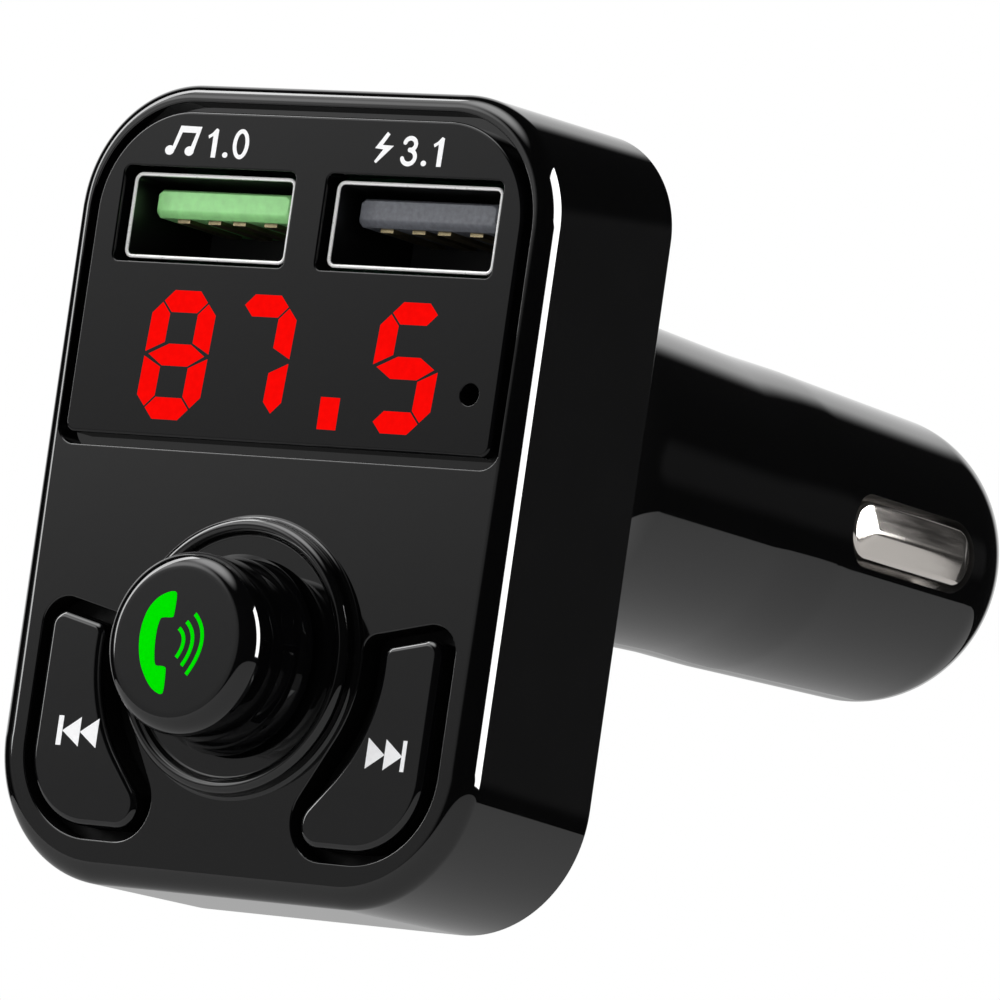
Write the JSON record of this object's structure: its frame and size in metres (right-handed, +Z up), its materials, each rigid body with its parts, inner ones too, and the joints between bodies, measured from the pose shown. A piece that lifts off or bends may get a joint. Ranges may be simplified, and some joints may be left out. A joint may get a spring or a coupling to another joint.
{
  "type": "car FM transmitter",
  "caption": "Car FM transmitter with a flared accessory-socket plug, a black head with a digit display, charging ports, a turning push knob and two track keys.",
  "frame": {"origin": "middle of the plug's seat, on the plug's axis", "axes": "+Y along the plug from the head to its tip, +Z up the head, +X to the right as the face is seen"},
  "size_m": [0.0374, 0.0863, 0.0518],
  "materials": {
    "case_black": "polished black ABS of the case",
    "window_black": "smoked glossy window",
    "knob_black": "polished black caps of knob and keys",
    "module_grey": "dark grey moulded parts inside",
    "segment_red": "lit red segments",
    "port_steel": "bright plated port shells",
    "tongue_green": "light green tongue of the left port",
    "tongue_grey": "dark grey tongue of the right port",
    "gold_plate": "thin gilt contacts",
    "pin_steel": "plain steel screws, cans and shaft",
    "inner_plastic": "pale moulded parts inside",
    "board_green": "solder-masked board",
    "chip_black": "moulded packages of the chips",
    "boot_rubber": "soft boot round the microphone",
    "coil_copper": "enamelled copper winding",
    "contact_nickel": "nickel-plated contacts of the plug"
  },
  "bodies": {
    "case": {"front_housing": "case_black", "rear_housing": "case_black", "display_lens": "window_black", "display_module": "module_grey", "digit_segments": "segment_red", "usb_shell_left": "port_steel", "usb_shell_right": "port_steel", "usb_tongue_left": "tongue_green", "usb_tongue_right": "tongue_grey", "usb_contacts_left": "gold_plate", "usb_contacts_right": "gold_plate", "encoder_body": "module_grey", "prev_switch": "module_grey", "next_switch": "module_grey", "front_board": "board_green", "radio_chip": "chip_black", "transmitter_chip": "chip_black", "crystal": "pin_steel", "chip_antenna": "inner_plastic", "microphone": "pin_steel", "microphone_boot": "boot_rubber", "power_board": "board_green", "board_header": "chip_black", "header_pins": "gold_plate", "inductor_core": "module_grey", "inductor_coil": "coil_copper", "capacitor": "module_grey", "converter_chip": "chip_black", "rectifier": "chip_black", "spring_seat": "gold_plate", "case_screws": "pin_steel", "board_screws": "pin_steel", "tip_spring": "pin_steel"},
    "rotor": {"encoder_rotor": "inner_plastic"},
    "knob": {"knob": "knob_black", "encoder_shaft": "pin_steel"},
    "prev_key": {"prev_key": "knob_black", "prev_switch_button": "inner_plastic"},
    "next_key": {"next_key": "knob_black", "next_switch_button": "inner_plastic"},
    "tip": {"plug_tip": "contact_nickel"},
    "left_contact": {"side_contact_left": "contact_nickel"},
    "right_contact": {"side_contact_right": "contact_nickel"}
  },
  "joints": [
    {"name": "knob_turn", "type": "hinge", "parent": "case", "child": "rotor", "pos_m": [0, -0.0477, -0.01754], "axis": [0, 1, 0], "continuous": true},
    {"name": "knob_push", "type": "slide", "parent": "rotor", "child": "knob", "axis": [0, 1, 0], "range_m": [0, 0.0004], "stiffness_N_per_m": 2000, "springref_m": -0.0004},
    {"name": "prev_key_press", "type": "slide", "parent": "case", "child": "prev_key", "axis": [0, 1, 0], "range_m": [0, 0.0003], "stiffness_N_per_m": 2000, "springref_m": -0.0004},
    {"name": "next_key_press", "type": "slide", "parent": "case", "child": "next_key", "axis": [0, 1, 0], "range_m": [0, 0.0003], "stiffness_N_per_m": 2000, "springref_m": -0.0004},
    {"name": "tip_press", "type": "slide", "parent": "case", "child": "tip", "axis": [0, -1, 0], "range_m": [0, 0.0025], "stiffness_N_per_m": 400, "springref_m": -0.002, "deforming": ["tip_spring"]},
    {"name": "left_contact_press", "type": "slide", "parent": "case", "child": "left_contact", "axis": [1, 0, 0], "range_m": [0, 0.0008], "stiffness_N_per_m": 1000, "springref_m": -0.0008},
    {"name": "right_contact_press", "type": "slide", "parent": "case", "child": "right_contact", "axis": [-1, 0, 0], "range_m": [0, 0.0008], "stiffness_N_per_m": 1000, "springref_m": -0.0008}
  ]
}
